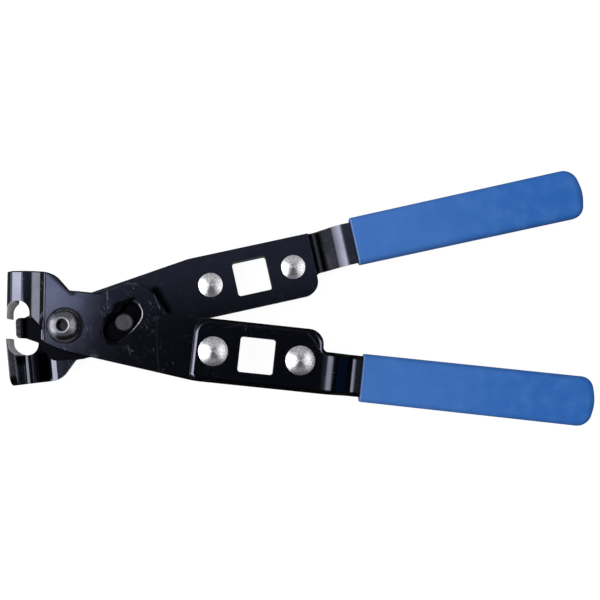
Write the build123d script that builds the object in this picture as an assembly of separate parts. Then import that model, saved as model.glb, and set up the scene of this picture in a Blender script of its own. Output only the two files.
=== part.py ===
from build123d import *
import math
import os

# Ear clamp pliers in millimetres.
# The pivot axis is Z, +X runs along the middle line towards the grips, and Z = 0 is the
# outer face of the pivot nut, on which the head rests.
# Each arm is drawn flat in its own frame, with heights counted from the middle plane of
# the tool, and then turned open. The rear arm is the front arm turned over about X.

# Layers across the tool
PLATE = 3.0                 # sheet thickness of an arm
BAR = 3.0                   # sheet thickness of a handle bar
ARM_GAP = 4.0               # space between the two arms
SLIP = 0.05                 # clearance of each face or shaft that slides
OVERRUN = 1.0               # how far every cut runs past the faces it opens

# Rest position and travel of each arm
REST_ANGLE = 3.2
CLOSE_ANGLE = 8.0
OPEN_ANGLE = 6.9
SLIDE_PER_TURN = 21.5       # presser travel for one radian of an arm
PIN_DISTANCE = 21.6         # pivot axis to guide pin at rest

# Plan of an arm around its pivot
JAW_REACH = 21.75           # pivot axis to the outer face of the jaw flange
JAW_SIDE = 19.9             # middle line to the outer side of the jaw
BLADE_SIDE = 2.4            # middle line to the edge of the blade
SHOULDER_BACK = 5.0         # corner where the jaw's side turns down the flank
SHOULDER_RADIUS = 8.0
WAIST_X = 1.1
WAIST_Y = 13.0
WAIST_RADIUS = 1.5
LOBE_FOOT_X = 12.4
LOBE_FOOT_Y = 12.0
LOBE_FOOT_RADIUS = 6.0
LOBE_TIP_X = 28.0
LOBE_TIP_Y = 18.4
LOBE_RADIUS = 10.0
LOBE_END_X = 37.4
LOBE_END_RADIUS = 2.0
BELLY_X = 2.3
BELLY_Y = 8.9
BELLY_RADIUS = 40.0
HEEL_X = 8.6
HEEL_LOW = 5.8
HEEL_HIGH = 1.3
HEEL_RADIUS = 1.2
MOUTH_X = 12.1
MOUTH_Y = 3.0
MOUTH_RADIUS = 0.6

ARM_EDGE = 0.5              # rounding that stamping leaves along the outer face

# Side view of the jaw, an arch that ends in a flange
JAW_BEND = 7.5              # pivot axis to the first bend
RAMP_ANGLE = 37.5
RAMP_RADIUS = 1.0
RAMP_SHARE = 0.52           # of the way from the first bend to the arch, up to the crest's corner
CREST_LAND = 0.5            # flat between the crest's rounding and the arch
ARCH_RADIUS = 6.4
CREST_WALL = 2.6            # thickness of the sheet under the crest
HOLLOW_LEAD = 0.6           # by which the first bend on the inside comes before the outside's
HOLLOW_BEND_RADIUS = 4.4
HOLLOW_RADIUS = 3.0         # inside of the arch, where the ramp ends
HOLLOW_END_RADIUS = 3.4     # inside of the arch, where the flange begins
HOLLOW_LAND = 0.5           # flat between the two
FLANGE = 2.6                # thickness of the flange
FLANGE_DEPTH = 5.0          # middle plane to the free edge of the flange
FLANGE_CORNER = 4.0

# Notch through the jaw, which leaves a thin blade
NOTCH_WIDTH = 8.9
NOTCH_TOP = 9.1
BLADE = 0.6

# Handle end of an arm, in a frame turned outward from the arm
HANDLE_ANGLE = 6.14
HANDLE_LINE = -3.725        # line of the two rivets and the square hole
HANDLE_INNER = 12.1         # that line to the inner edge
HANDLE_OUTER = 11.6         # that line to the outer edge
ARM_END = 95.8
ARM_END_RADIUS = 5.8
BELLY_BACK_RADIUS = 10.0
BELLY_TO_BAR = 1.5          # start of the bar to the corner of the belly

# Handle bar
BAR_OVERLAP = 48.4          # length of the bar's paddle on the arm
BAR_START_INNER_RADIUS = 5.5
BAR_START_OUTER_RADIUS = 3.0
BAR_NECK_RADIUS = 1.8
BAR_EDGE = 1.7
BAR_INNER = 4.2             # rivet line to the inner edge past the paddle
BAR_DROP = 8.5              # step from the paddle down to the gripped end
JOGGLE_LEAD = 3.9           # end of the arm to the corner of the first bend
JOGGLE_ANGLE = 46.0
JOGGLE_RADIUS = 7.0         # outer side of each bend

# Square drive hole
DRIVE_SIDE = 13.15
DRIVE_CORNER = 1.0

# Rivets
RIVET_START_MARGIN = 7.8    # start of the bar to the inner rivet
RIVET_END_MARGIN = 8.3      # outer rivet to the end of the arm
RIVET_SHANK = 6.0
RIVET_HEAD = 10.9
RIVET_HEAD_HEIGHT = 2.3
RIVET_FORMED = 9.2
RIVET_FORMED_HEIGHT = 1.5
RIVET_LAND = 0.5            # straight rim below each dome

# Grip
GRIP_LEAD = 16.2            # end of the arm to the grip's mouth
GRIP_LENGTH = 91.6
GRIP_WALL = 1.3             # wall beside the bar at the mouth
GRIP_INNER_SWELL = 0.25     # extra wall at the far end, on the inner side
GRIP_OUTER_SWELL = 1.1
GRIP_CROWN = 2.2            # how far the end's middle stands past its corners
GRIP_CROWN_RADIUS = 16.0
GRIP_FACE_WALL = 1.7        # wall over each face of the bar
GRIP_END_WALL = 2.2
GRIP_INNER_RADIUS = 5.0
GRIP_OUTER_RADIUS = 6.0
GRIP_ROUND = 2.4            # rounding along the grip's edges
GRIP_FIT = 0.05

# Pivot
SCREW_SHANK = 8.0
SCREW_HEAD = 13.3
SCREW_HEAD_HEIGHT = 5.4
SCREW_HEAD_FLAT = 5.9
SCREW_HEAD_LAND = 0.9
SOCKET_FLATS = 4.0
SOCKET_DEPTH = 3.2
SOCKET_BEVEL = 0.35
SLEEVE_WALL = 1.5
SLEEVE_PROUD = 0.3          # how far the sleeve stands past each arm
WASHER = 1.5
WASHER_WIDTH = 15.0
NUT_HEIGHT = 4.0
NUT_FLATS = 13.0
NUT_BEVEL = 0.7

# Guide pin and the slanted slots it runs in
PIN_WIDTH = 6.7
PIN_BEVEL = 0.5
SLOT_WIDTH = 8.0
SLOT_CLOSE_SPARE = 1.4      # extra turn past each end of the travel
SLOT_OPEN_SPARE = 0.3

# Ear presser
NOSE_TO_FLANGE = 1.2        # nose to the inner face of the jaw flange
NOSE_WIDTH = 7.5
NOSE_RADIUS = 1.5
LIP_DEPTH = 2.6
LIP_HEIGHT = 4.5            # middle plane to the top of the lip
LIP_EDGE_RADIUS = 0.5
NECK_X = 10.4
NECK_WIDTH = 11.6
SHOULDER_X = 5.9
BODY_WIDTH = 25.4
BODY_BACK = 5.0
NECK_RADIUS = 2.0
BODY_RADIUS = 3.0
BOSS_WALL = 3.5             # material round the guide pin
PRESSER_SLOT_SPARE = 0.4

# Heights and sizes that follow
ARM_LOW = ARM_GAP / 2
ARM_HIGH = ARM_LOW + PLATE
SLEEVE_RADIUS = SCREW_SHANK / 2 + SLEEVE_WALL
SLEEVE_END = ARM_HIGH + SLEEVE_PROUD
MIDDLE = SLEEVE_END + WASHER + NUT_HEIGHT
CLOSE_TRAVEL = SLIDE_PER_TURN * math.radians(CLOSE_ANGLE)
OPEN_TRAVEL = SLIDE_PER_TURN * math.radians(OPEN_ANGLE)
HANDLE_HIGH = HANDLE_LINE + HANDLE_INNER
HANDLE_LOW = HANDLE_LINE - HANDLE_OUTER
BAR_HIGH = HANDLE_LINE + BAR_INNER
BAR_START = ARM_END - BAR_OVERLAP
BELLY_BACK = BAR_START + BELLY_TO_BAR
NOSE_REACH = JAW_REACH - FLANGE - NOSE_TO_FLANGE
INNER_RIVET_PLACE = BAR_START + RIVET_START_MARGIN
OUTER_RIVET_PLACE = ARM_END - RIVET_END_MARGIN
DRIVE_PLACE = (INNER_RIVET_PLACE + OUTER_RIVET_PLACE) / 2
JOGGLE_START = ARM_END + JOGGLE_LEAD
GRIP_START = ARM_END + GRIP_LEAD
GRIP_END = GRIP_START + GRIP_LENGTH
GRIP_LEVEL = ARM_HIGH + BAR / 2 - BAR_DROP
GRIP_THICKNESS = BAR + 2 * GRIP_FACE_WALL


# Shared shapes

def outline(corners):
    """Closed flat face through corners given as (x, y, corner radius)."""
    points = [(x, y) for x, y, radius in corners]
    radii = [radius for x, y, radius in corners]
    return make_face(FilletPolyline(*points, radius=radii, close=True))


def prism(face, low, high):
    """Solid that stands on a flat face between two heights."""
    return Pos(0, 0, low) * extrude(face, high - low, dir=(0, 0, 1))


def turned(corners):
    """Solid turned about Z from a side outline of (radius, height, corner radius) points."""
    return revolve(Rot(90, 0, 0) * outline(corners), Axis.Z)


def bent_sheet(top, bottom, half_width):
    """Bent sheet from the side view of its two faces, each a row of (x, z, bend radius)."""
    side = Rot(90, 0, 0) * outline(top + bottom[::-1])
    return extrude(side, half_width, dir=(0, 1, 0), both=True)


def bend_shift(angle):
    """Share of the thickness by which the far face's corner moves at a bend."""
    return math.tan(math.radians(angle) / 2)


def handle_point(along, across):
    """Place in the arm's frame of a point given along and across the handle."""
    angle = math.radians(HANDLE_ANGLE)
    return (along * math.cos(angle) + across * math.sin(angle),
            across * math.cos(angle) - along * math.sin(angle))


def on_handle(shape):
    """Shape drawn in the handle's frame, moved to the arm's frame."""
    return Rot(0, 0, -HANDLE_ANGLE) * shape


def front(shape):
    """Shape from an arm's frame, moved to the front arm's place in the tool."""
    return Pos(0, 0, MIDDLE) * Rot(0, 0, -REST_ANGLE) * shape


def rear(shape):
    """Shape from an arm's frame, moved to the rear arm's place in the tool."""
    return Pos(0, 0, MIDDLE) * Rot(180, 0, 0) * Rot(0, 0, -REST_ANGLE) * shape


# Arm

def arm_plan():
    """Flat outline of an arm, before its holes."""
    end_x, end_y = handle_point(ARM_END, HANDLE_HIGH)
    foot_x, foot_y = handle_point(ARM_END, HANDLE_LOW)
    back_x, back_y = handle_point(BELLY_BACK, HANDLE_LOW)
    slope = math.tan(math.radians(HANDLE_ANGLE))
    lobe_end_y = end_y + (end_x - LOBE_END_X) * slope
    return outline([
        (-JAW_REACH, BLADE_SIDE, 0),
        (-JAW_REACH, JAW_SIDE, 0),
        (-SHOULDER_BACK, JAW_SIDE, SHOULDER_RADIUS),
        (WAIST_X, WAIST_Y, WAIST_RADIUS),
        (LOBE_FOOT_X, LOBE_FOOT_Y, LOBE_FOOT_RADIUS),
        (LOBE_TIP_X, LOBE_TIP_Y, LOBE_RADIUS),
        (LOBE_END_X, lobe_end_y, LOBE_END_RADIUS),
        (end_x, end_y, ARM_END_RADIUS),
        (foot_x, foot_y, 0),
        (back_x, back_y, BELLY_BACK_RADIUS),
        (-BELLY_X, -BELLY_Y, BELLY_RADIUS),
        (-HEEL_X, -HEEL_LOW, HEEL_RADIUS),
        (-HEEL_X, -HEEL_HIGH, HEEL_RADIUS),
        (-MOUTH_X, MOUTH_Y, MOUTH_RADIUS),
    ])


def arm_sheet():
    """The arm's sheet, flat over the handle and arched over the jaw."""
    slope = math.tan(math.radians(RAMP_ANGLE))
    arch_start = JAW_REACH - ARCH_RADIUS
    crest_x = JAW_BEND + RAMP_SHARE * (arch_start - JAW_BEND)
    crest_z = ARM_HIGH + (crest_x - JAW_BEND) * slope
    crest_radius = (arch_start - crest_x - CREST_LAND) / bend_shift(RAMP_ANGLE)
    hollow_x = JAW_REACH - FLANGE - HOLLOW_END_RADIUS - HOLLOW_LAND - HOLLOW_RADIUS * bend_shift(RAMP_ANGLE)
    hollow_z = crest_z - CREST_WALL
    top = [
        (ARM_END, ARM_HIGH, 0),
        (-JAW_BEND, ARM_HIGH, RAMP_RADIUS),
        (-crest_x, crest_z, crest_radius),
        (-JAW_REACH, crest_z, ARCH_RADIUS),
        (-JAW_REACH, -FLANGE_DEPTH, 0),
    ]
    bottom = [
        (ARM_END, ARM_LOW, 0),
        (-JAW_BEND + HOLLOW_LEAD, ARM_LOW, HOLLOW_BEND_RADIUS),
        (-hollow_x, hollow_z, HOLLOW_RADIUS),
        (-JAW_REACH + FLANGE, hollow_z, HOLLOW_END_RADIUS),
        (-JAW_REACH + FLANGE, -FLANGE_DEPTH, 0),
    ]
    return bent_sheet(top, bottom, JAW_SIDE + HANDLE_OUTER)


def notch():
    """Round-ended opening down through the jaw."""
    radius = NOTCH_WIDTH / 2
    x = -(JAW_REACH - BLADE - radius)
    straight = Pos(x, 0) * Rectangle(NOTCH_WIDTH, 2 * (NOTCH_TOP - radius))
    face = straight + Pos(x, NOTCH_TOP - radius) * Circle(radius)
    return prism(face, -FLANGE_DEPTH - OVERRUN, ARM_HIGH + JAW_REACH)


def slot_point(turn):
    """Where the guide pin lies in the arm's frame once the arm has turned closed by an angle."""
    angle = math.radians(REST_ANGLE - turn)
    distance = PIN_DISTANCE - SLIDE_PER_TURN * math.radians(turn)
    return (distance * math.cos(angle), distance * math.sin(angle))


def cam_slot():
    """Slanted slot that drives the guide pin, a spiral about the pivot."""
    closed = CLOSE_ANGLE + SLOT_CLOSE_SPARE
    opened = -OPEN_ANGLE - SLOT_OPEN_SPARE
    middle = (closed + opened) / 2
    centre_line = ThreePointArc(slot_point(closed), slot_point(middle), slot_point(opened))
    return prism(SlotArc(centre_line, SLOT_WIDTH), ARM_LOW - OVERRUN, ARM_HIGH + OVERRUN)


def handle_holes(low, high):
    """The two rivet holes and the square drive hole, in the handle's frame."""
    places = (INNER_RIVET_PLACE, OUTER_RIVET_PLACE)
    rivets = [Pos(x, HANDLE_LINE) * Circle(RIVET_SHANK / 2) for x in places]
    drive = Pos(DRIVE_PLACE, HANDLE_LINE) * RectangleRounded(DRIVE_SIDE, DRIVE_SIDE, DRIVE_CORNER)
    return prism(Sketch() + rivets + drive, low - OVERRUN, high + OVERRUN)


def flat_face(body, height):
    """Flat face of a body at a given height."""
    return body.faces().filter_by(Axis.Z).filter_by_position(Axis.Z, height - SLIP, height + SLIP)[0]


def arm():
    """One stamped arm with its jaw, cam slot and handle holes."""
    body = prism(arm_plan(), -FLANGE_DEPTH - OVERRUN, ARM_HIGH + JAW_REACH) & arm_sheet()
    corners = body.edges().filter_by(Axis.X).group_by(Axis.Z)[0].sort_by(Axis.Y)
    body = fillet(corners[-1], FLANGE_CORNER)
    rim = flat_face(body, ARM_HIGH).outer_wire().edges().sort_by(Axis.X)
    body = fillet(rim[1:], ARM_EDGE)
    body = body - cam_slot()
    body = fillet(flat_face(body, ARM_HIGH).inner_wires()[0].edges(), ARM_EDGE)
    pivot_hole = prism(Circle(SLEEVE_RADIUS + SLIP), ARM_LOW - OVERRUN, ARM_HIGH + OVERRUN)
    return body - notch() - pivot_hole - on_handle(handle_holes(ARM_LOW, ARM_HIGH))


# Handle bar

def bar_plan():
    """Flat outline of a handle bar in the handle's frame."""
    end = GRIP_END - GRIP_END_WALL
    return outline([
        (BAR_START, HANDLE_LOW, BAR_START_OUTER_RADIUS),
        (BAR_START, HANDLE_HIGH, BAR_START_INNER_RADIUS),
        (ARM_END, HANDLE_HIGH, ARM_END_RADIUS),
        (ARM_END, BAR_HIGH, BAR_NECK_RADIUS),
        (end, BAR_HIGH, GRIP_INNER_RADIUS - GRIP_WALL),
        (end, HANDLE_LOW, GRIP_OUTER_RADIUS - GRIP_WALL),
    ])


def bar_sheet():
    """Side view of a handle bar, stepped down from its paddle to the level of its grip."""
    step = BAR_DROP / math.tan(math.radians(JOGGLE_ANGLE))
    shift = BAR * bend_shift(JOGGLE_ANGLE)
    top = [
        (BAR_START, ARM_HIGH + BAR, 0),
        (JOGGLE_START, ARM_HIGH + BAR, JOGGLE_RADIUS),
        (JOGGLE_START + step, GRIP_LEVEL + BAR / 2, JOGGLE_RADIUS - BAR),
        (GRIP_END, GRIP_LEVEL + BAR / 2, 0),
    ]
    bottom = [
        (BAR_START, ARM_HIGH, 0),
        (JOGGLE_START - shift, ARM_HIGH, JOGGLE_RADIUS - BAR),
        (JOGGLE_START + step - shift, GRIP_LEVEL - BAR / 2, JOGGLE_RADIUS),
        (GRIP_END, GRIP_LEVEL - BAR / 2, 0),
    ]
    return bent_sheet(top, bottom, HANDLE_OUTER - HANDLE_LINE + OVERRUN)


def handle_bar():
    """Handle bar riveted to the outside of an arm, in the arm's frame."""
    body = prism(bar_plan(), GRIP_LEVEL - BAR, ARM_HIGH + BAR + OVERRUN) & bar_sheet()
    top = flat_face(body, ARM_HIGH + BAR)
    rim = [edge for edge in top.outer_wire().edges() if edge.center().X < ARM_END]
    body = fillet(rim, BAR_EDGE)
    return on_handle(body - handle_holes(ARM_HIGH, ARM_HIGH + BAR))


# Grip

def grip():
    """Moulded grip over the end of a handle bar, in the arm's frame."""
    low = HANDLE_LOW - GRIP_WALL
    high = BAR_HIGH + GRIP_WALL
    far_low = low - GRIP_OUTER_SWELL
    far_high = high + GRIP_INNER_SWELL
    lean = math.atan(2 * GRIP_CROWN / (far_high - far_low))
    tip = GRIP_END + GRIP_CROWN_RADIUS * (1 / math.cos(lean) - 1)
    shell = prism(outline([
        (GRIP_START, low, 0),
        (GRIP_START, high, 0),
        (tip - GRIP_CROWN, far_high, GRIP_INNER_RADIUS),
        (tip, (far_high + far_low) / 2, GRIP_CROWN_RADIUS),
        (tip - GRIP_CROWN, far_low, GRIP_OUTER_RADIUS),
    ]), -GRIP_THICKNESS / 2, GRIP_THICKNESS / 2)
    rims = [edge for edge in shell.edges() if edge.center().X > GRIP_START + GRIP_FIT
            and abs(edge.center().Z) > GRIP_FIT]
    shell = fillet(rims, GRIP_ROUND)
    pocket_end = GRIP_END - GRIP_END_WALL + GRIP_FIT
    pocket = outline([
        (GRIP_START - OVERRUN, BAR_HIGH + GRIP_FIT, 0),
        (pocket_end, BAR_HIGH + GRIP_FIT, GRIP_INNER_RADIUS - GRIP_WALL),
        (pocket_end, HANDLE_LOW - GRIP_FIT, GRIP_OUTER_RADIUS - GRIP_WALL),
        (GRIP_START - OVERRUN, HANDLE_LOW - GRIP_FIT, 0),
    ])
    shell = shell - prism(pocket, -BAR / 2 - GRIP_FIT, BAR / 2 + GRIP_FIT)
    return on_handle(Pos(0, 0, GRIP_LEVEL) * shell)


# Rivets

def dome(width, height, land):
    """Low dome on a straight rim, standing on Z = 0."""
    rim = width / 2
    sphere = (rim * rim + (height - land) ** 2) / (2 * (height - land))
    cap = Pos(0, 0, height - sphere) * Sphere(sphere)
    return cap & prism(Circle(rim), 0, height)


def rivet(place):
    """Rivet through an arm and its handle bar, in the arm's frame."""
    head = Pos(0, 0, ARM_HIGH + BAR) * dome(RIVET_HEAD, RIVET_HEAD_HEIGHT, RIVET_LAND)
    formed = Pos(0, 0, ARM_LOW) * Rot(180, 0, 0) * dome(RIVET_FORMED, RIVET_FORMED_HEIGHT, RIVET_LAND)
    shank = prism(Circle(RIVET_SHANK / 2), ARM_LOW, ARM_HIGH + BAR)
    return on_handle(Pos(place, HANDLE_LINE, 0) * (shank + head + formed))


# Pivot

def pivot_screw():
    """Domed screw with a hexagon socket, from the nut's outer face to above the front arm."""
    seat = MIDDLE + SLEEVE_END
    rim = SCREW_HEAD / 2
    flat = SCREW_HEAD_FLAT / 2
    rise = SCREW_HEAD_HEIGHT - SCREW_HEAD_LAND
    sphere_z = (rise * rise + flat * flat - rim * rim) / (2 * rise)
    sphere = Pos(0, 0, SCREW_HEAD_LAND + sphere_z) * Sphere(math.hypot(rim, sphere_z))
    head = sphere & prism(Circle(rim), 0, SCREW_HEAD_HEIGHT)
    socket = prism(RegularPolygon(SOCKET_FLATS / 2, 6, major_radius=False),
                   SCREW_HEAD_HEIGHT - SOCKET_DEPTH, SCREW_HEAD_HEIGHT + OVERRUN)
    wide = SOCKET_FLATS / math.sqrt(3) + SOCKET_BEVEL
    bevel = Pos(0, 0, SCREW_HEAD_HEIGHT) * Rot(180, 0, 0) * Cone(
        wide, 0, wide, align=(Align.CENTER, Align.CENTER, Align.MIN))
    shank = prism(Circle(SCREW_SHANK / 2), 0, seat)
    return shank + Pos(0, 0, seat) * (head - socket - bevel)


def pivot_sleeve():
    """Sleeve on the screw that both arms turn on."""
    ring = Circle(SLEEVE_RADIUS) - Circle(SCREW_SHANK / 2)
    return prism(ring, MIDDLE - SLEEVE_END, MIDDLE + SLEEVE_END)


def pivot_washer():
    """Washer between the sleeve and the nut."""
    ring = Circle(WASHER_WIDTH / 2) - Circle(SCREW_SHANK / 2)
    return prism(ring, NUT_HEIGHT, NUT_HEIGHT + WASHER)


def pivot_nut():
    """Hexagon nut with its corners turned off."""
    ring = RegularPolygon(NUT_FLATS / 2, 6, major_radius=False) - Circle(SCREW_SHANK / 2)
    corner = NUT_FLATS / math.sqrt(3)
    turned_blank = turned([
        (0, 0, 0),
        (corner - NUT_BEVEL, 0, 0),
        (corner, NUT_BEVEL, 0),
        (corner, NUT_HEIGHT - NUT_BEVEL, 0),
        (corner - NUT_BEVEL, NUT_HEIGHT, 0),
        (0, NUT_HEIGHT, 0),
    ])
    return prism(ring, 0, NUT_HEIGHT) & turned_blank


# Ear presser and its guide pin

def ear_presser():
    """Flat slide between the arms, with a raised lip on its nose."""
    nose = NOSE_WIDTH / 2
    body = BODY_WIDTH / 2
    neck = NECK_WIDTH / 2
    boss = PIN_WIDTH / 2 + BOSS_WALL
    back = PIN_DISTANCE + boss
    half = [
        (-NOSE_REACH, nose, NOSE_RADIUS),
        (-NOSE_REACH + LIP_DEPTH, nose, 0),
        (-NECK_X, neck, NECK_RADIUS),
        (-SHOULDER_X, body, BODY_RADIUS),
        (BODY_BACK, body, BODY_RADIUS),
        (back, boss, boss - SLIP),
    ]
    other_half = [(x, -y, radius) for x, y, radius in half[::-1]]
    plate = prism(outline(half + other_half), -ARM_LOW + SLIP, ARM_LOW - SLIP)
    lip_plan = outline([
        (-NOSE_REACH, -nose, NOSE_RADIUS),
        (-NOSE_REACH, nose, NOSE_RADIUS),
        (-NOSE_REACH + LIP_DEPTH, nose, 0),
        (-NOSE_REACH + LIP_DEPTH, -nose, 0),
    ])
    lip = prism(lip_plan, -LIP_HEIGHT, LIP_HEIGHT)
    lip = fillet(lip.edges().filter_by(Axis.Y).sort_by(Axis.X)[:2], LIP_EDGE_RADIUS)
    travel = CLOSE_TRAVEL + OPEN_TRAVEL + 2 * PRESSER_SLOT_SPARE
    slot_x = (CLOSE_TRAVEL - OPEN_TRAVEL) / 2
    slot = Pos(slot_x, 0) * SlotCenterToCenter(travel, 2 * (SLEEVE_RADIUS + SLIP))
    pin_hole = Pos(PIN_DISTANCE, 0) * Circle(PIN_WIDTH / 2)
    holes = prism(slot + pin_hole, -LIP_HEIGHT, LIP_HEIGHT)
    return Pos(0, 0, MIDDLE) * (plate + lip - holes)


def guide_pin():
    """Pin pressed through the presser, which runs in both cam slots."""
    radius = PIN_WIDTH / 2
    return Pos(PIN_DISTANCE, 0, MIDDLE) * turned([
        (0, -ARM_HIGH, 0),
        (radius - PIN_BEVEL, -ARM_HIGH, 0),
        (radius, -ARM_HIGH + PIN_BEVEL, 0),
        (radius, ARM_HIGH - PIN_BEVEL, 0),
        (radius - PIN_BEVEL, ARM_HIGH, 0),
        (0, ARM_HIGH, 0),
    ])


# Assembly

def build():
    """Every piece of the tool by name."""
    one_arm = arm()
    one_bar = handle_bar()
    one_grip = grip()
    inner_rivet = rivet(INNER_RIVET_PLACE)
    outer_rivet = rivet(OUTER_RIVET_PLACE)
    return {
        "front_arm": front(one_arm),
        "rear_arm": rear(one_arm),
        "lower_handle_bar": front(one_bar),
        "upper_handle_bar": rear(one_bar),
        "lower_grip": front(one_grip),
        "upper_grip": rear(one_grip),
        "lower_inner_rivet": front(inner_rivet),
        "lower_outer_rivet": front(outer_rivet),
        "upper_inner_rivet": rear(inner_rivet),
        "upper_outer_rivet": rear(outer_rivet),
        "pivot_screw": pivot_screw(),
        "pivot_sleeve": pivot_sleeve(),
        "pivot_washer": pivot_washer(),
        "pivot_nut": pivot_nut(),
        "ear_presser": ear_presser(),
        "guide_pin": guide_pin(),
    }


os.makedirs("parts", exist_ok=True)
for name, shape in build().items():
    export_step(shape, f"parts/{name}.step")
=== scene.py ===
import bpy
import bmesh
import math
from mathutils import Matrix, Vector


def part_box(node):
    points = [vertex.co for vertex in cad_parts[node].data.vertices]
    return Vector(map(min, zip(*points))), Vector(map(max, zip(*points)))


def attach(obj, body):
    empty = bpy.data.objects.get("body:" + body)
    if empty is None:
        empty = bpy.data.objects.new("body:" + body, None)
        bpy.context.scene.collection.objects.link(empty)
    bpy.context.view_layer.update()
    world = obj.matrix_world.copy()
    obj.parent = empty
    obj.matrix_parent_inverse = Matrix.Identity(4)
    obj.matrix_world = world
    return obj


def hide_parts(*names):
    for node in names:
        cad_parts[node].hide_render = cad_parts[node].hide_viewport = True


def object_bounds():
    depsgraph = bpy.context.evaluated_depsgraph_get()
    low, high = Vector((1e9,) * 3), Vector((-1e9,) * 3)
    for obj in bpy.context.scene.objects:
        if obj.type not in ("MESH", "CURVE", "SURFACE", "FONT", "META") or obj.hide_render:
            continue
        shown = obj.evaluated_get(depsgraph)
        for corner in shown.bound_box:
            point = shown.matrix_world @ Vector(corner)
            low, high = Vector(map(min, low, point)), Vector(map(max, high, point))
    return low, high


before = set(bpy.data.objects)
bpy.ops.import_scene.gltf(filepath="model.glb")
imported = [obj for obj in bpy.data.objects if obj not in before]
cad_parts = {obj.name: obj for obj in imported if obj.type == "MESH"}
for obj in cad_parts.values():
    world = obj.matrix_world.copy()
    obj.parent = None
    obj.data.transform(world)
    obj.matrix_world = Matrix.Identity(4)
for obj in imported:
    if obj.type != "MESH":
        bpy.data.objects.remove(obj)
cad_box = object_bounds()

MM = 0.001
METRE = 1.0


def middle_plane():
    """Height of the plane halfway between the two arms."""
    low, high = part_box("ear_presser")
    return (low.z + high.z) / 2


MIDDLE = middle_plane()

# Turn of each arm from the middle line in degrees, and the further bend of its handle
ARM_DEGREES = 3.2
BEND_DEGREES = 6.14
ARM_TURN = math.radians(ARM_DEGREES)
HANDLE_TURN = math.radians(ARM_DEGREES + BEND_DEGREES)

# Frames of the front and rear arm, and of their handles: X along, Y across, Z outward
UPRIGHT = Matrix.Translation((0, 0, MIDDLE))
TURNED_OVER = UPRIGHT @ Matrix.Rotation(math.pi, 4, "X")
FRONT_ARM = UPRIGHT @ Matrix.Rotation(-ARM_TURN, 4, "Z")
REAR_ARM = TURNED_OVER @ Matrix.Rotation(-ARM_TURN, 4, "Z")
FRONT_HANDLE = UPRIGHT @ Matrix.Rotation(-HANDLE_TURN, 4, "Z")
REAR_HANDLE = TURNED_OVER @ Matrix.Rotation(-HANDLE_TURN, 4, "Z")


def node_box(node, place):
    """Lowest and highest corner of a node in the frame that a matrix describes."""
    to_place = place.inverted()
    points = [to_place @ vertex.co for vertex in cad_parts[node].data.vertices]
    low = Vector([min(point[axis] for point in points) for axis in range(3)])
    high = Vector([max(point[axis] for point in points) for axis in range(3)])
    return low, high


# Camera, solved from the photograph: place in the tool's frame, small turns and focal length
CAMERA_X = 65.644 * MM
CAMERA_Y = -14.565 * MM
CAMERA_Z = 330.022 * MM + MIDDLE
CAMERA_TURN_X = math.radians(-3.595)
CAMERA_TURN_Y = math.radians(3.584)
CAMERA_TURN_Z = math.radians(3.333)
PHOTO_WIDTH = 600               # pixels
FOCAL_LENGTH = 870              # pixels
SENSOR = 36.0                   # millimetres, as Blender counts them
CLIP_NEAR = 10 * MM
CLIP_FAR = 20 * METRE


def make_camera():
    """Camera that looks almost straight down, as in the photograph."""
    data = bpy.data.cameras.new("camera")
    data.sensor_width = SENSOR
    data.lens = SENSOR * FOCAL_LENGTH / PHOTO_WIDTH
    data.clip_start = CLIP_NEAR
    data.clip_end = CLIP_FAR
    camera = bpy.data.objects.new("camera", data)
    bpy.context.collection.objects.link(camera)
    to_view = (Matrix.Rotation(CAMERA_TURN_X, 3, "X")
               @ Matrix.Rotation(CAMERA_TURN_Y, 3, "Y")
               @ Matrix.Rotation(CAMERA_TURN_Z, 3, "Z"))
    place = Matrix.Translation((CAMERA_X, CAMERA_Y, CAMERA_Z))
    camera.matrix_world = place @ to_view.transposed().to_4x4()
    bpy.context.scene.camera = camera


# Node trees

FLAT_RANGE = (0.35, 0.9)        # upward part of the normal, from a wall to a broad face
SHARP_RANGE = (0.995, 0.86)     # agreement of a normal with its softened self, from even to sharp
EDGE_SAMPLES = 6
STROKE_CORE_SHARE = 0.3         # part of a stroke's half width that has its full strength
HAIRLINE_RANGE = (0.66, 0.74)
PATCH_SIZE = 7 * MM             # patches of the surface that hold the hairlines
PATCH_RANGE = (0.50, 0.62)
IN_PLANE = (1, 1, 0)            # leaves X and Y and drops Z


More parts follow.
